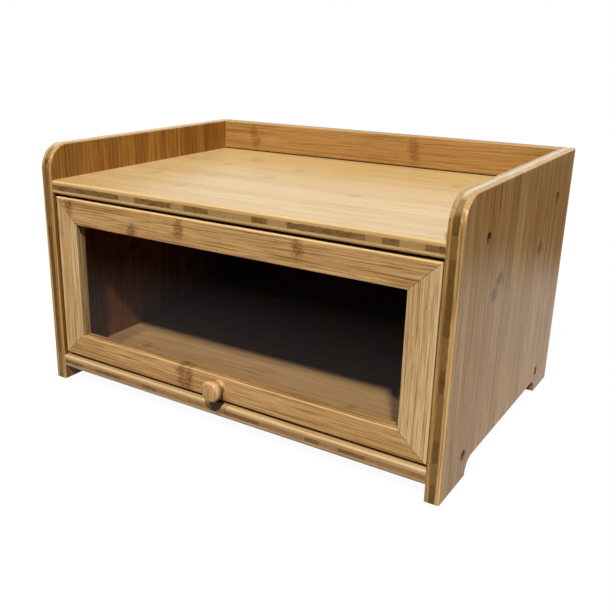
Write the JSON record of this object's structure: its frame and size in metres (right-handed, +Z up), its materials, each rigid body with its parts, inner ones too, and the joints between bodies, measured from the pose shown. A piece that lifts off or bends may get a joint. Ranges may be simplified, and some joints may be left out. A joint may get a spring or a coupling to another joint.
{
  "type": "bread box",
  "caption": "Bamboo bread box: raised tray top with a back rail, and a framed clear flap at the front that lifts by a turned knob.",
  "frame": {"origin": "on the ground, in the middle of the whole box's width and depth, the knob counted in the depth", "axes": "+X to the right as one faces the flap, -Y out of the front, +Z up"},
  "size_m": [0.4, 0.294, 0.228],
  "materials": {
    "side_bamboo": "satin lacquer",
    "shelf_bamboo": "satin lacquer",
    "frame_bamboo": "satin lacquer",
    "knob_bamboo": "satin lacquer",
    "back_ply": "satin lacquer",
    "dowel_wood": "bare",
    "clear_acrylic": "polished clear acrylic",
    "screw_steel": "dull zinc plate",
    "magnet_nickel": "nickel plate",
    "bush_nylon": "matt black nylon"
  },
  "bodies": {
    "case": {"right_side_panel": "side_bamboo", "left_side_panel": "side_bamboo", "top_shelf": "shelf_bamboo", "base_board": "shelf_bamboo", "back_rail": "side_bamboo", "back_panel": "back_ply", "shelf_screws": "screw_steel", "base_screws": "screw_steel", "rail_dowels": "dowel_wood", "right_pivot_bush": "bush_nylon", "left_pivot_bush": "bush_nylon", "right_stop_block": "frame_bamboo", "left_stop_block": "frame_bamboo", "stop_screws": "screw_steel", "catch_magnets": "magnet_nickel"},
    "door": {"door_top_rail": "frame_bamboo", "door_bottom_rail": "frame_bamboo", "door_right_stile": "frame_bamboo", "door_left_stile": "frame_bamboo", "door_pane": "clear_acrylic", "door_corner_dowels": "dowel_wood", "door_knob": "knob_bamboo", "knob_screw": "screw_steel", "door_strikes": "screw_steel", "right_pivot_pin": "screw_steel", "left_pivot_pin": "screw_steel"}
  },
  "joints": [
    {"name": "door_lift", "type": "hinge", "parent": "case", "child": "door", "pos_m": [0, -0.1245, 0.174], "axis": [-1, 0, 0], "range_deg": [0, 118]}
  ]
}
